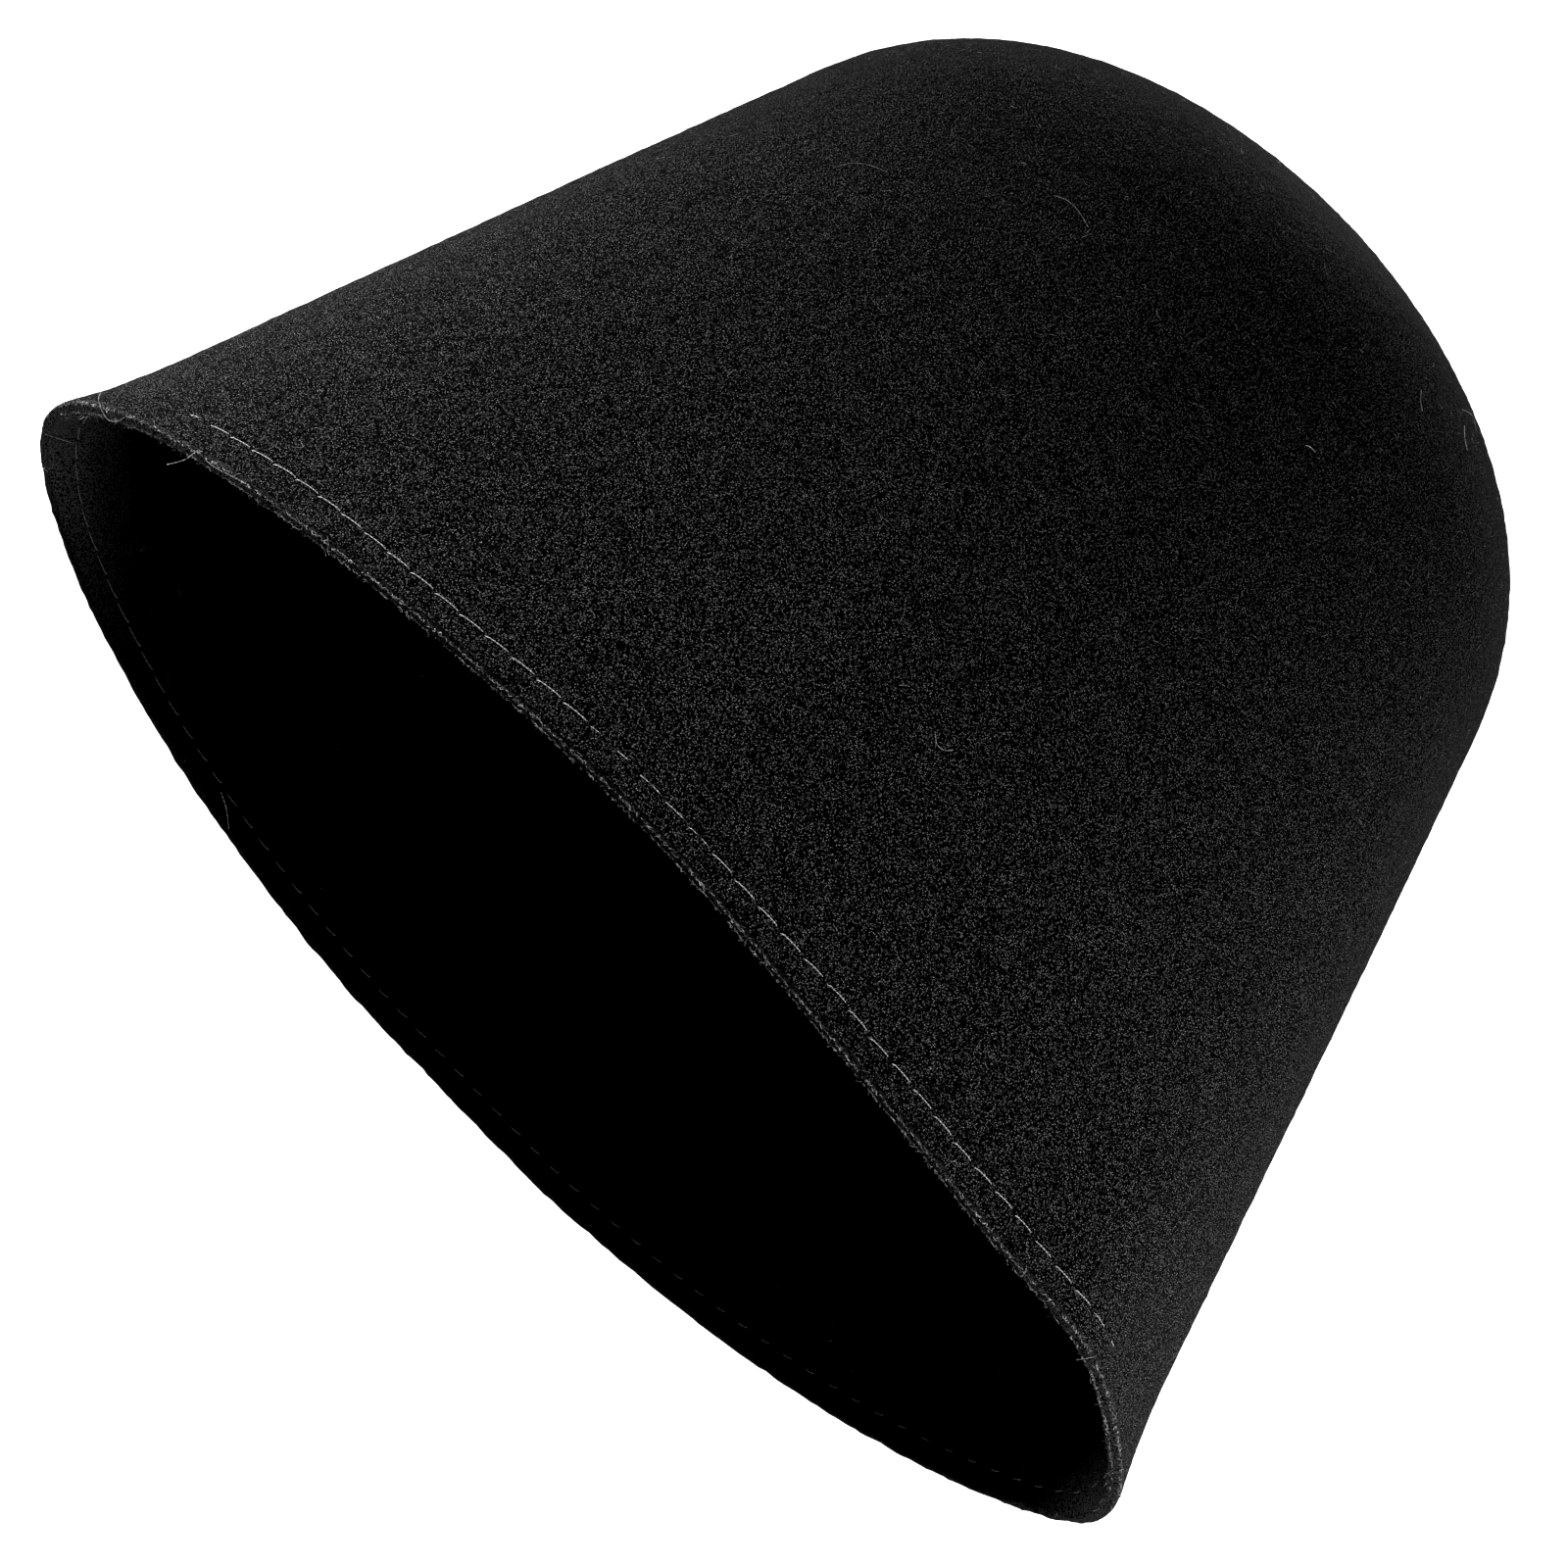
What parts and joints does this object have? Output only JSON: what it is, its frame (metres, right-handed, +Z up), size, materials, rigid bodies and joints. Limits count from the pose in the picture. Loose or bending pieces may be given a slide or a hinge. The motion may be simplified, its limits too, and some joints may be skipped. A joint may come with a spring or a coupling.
{
  "type": "sauna hat",
  "caption": "Bell-shaped felt sauna hat with a rounded crown, a softly flared rim and a raw cut edge, lying on its back wall.",
  "frame": {"origin": "on the surface that the hat lies on, under the middle of its box", "axes": "+Z up, from the resting back wall to the front wall; +Y from the open rim to the crown; +X across the width, to the right as seen from the opening"},
  "size_m": [0.2908, 0.249, 0.157],
  "materials": {
    "felt": "black wool felt, matt, fine fibres with a faint grey sheen at grazing angles",
    "thread": "grey sewing thread, thin and matt",
    "fibre": "loose dark grey wool fibres on the felt's face and cut edge"
  },
  "bodies": {
    "root": {"felt_body": "felt"}
  },
  "joints": []
}
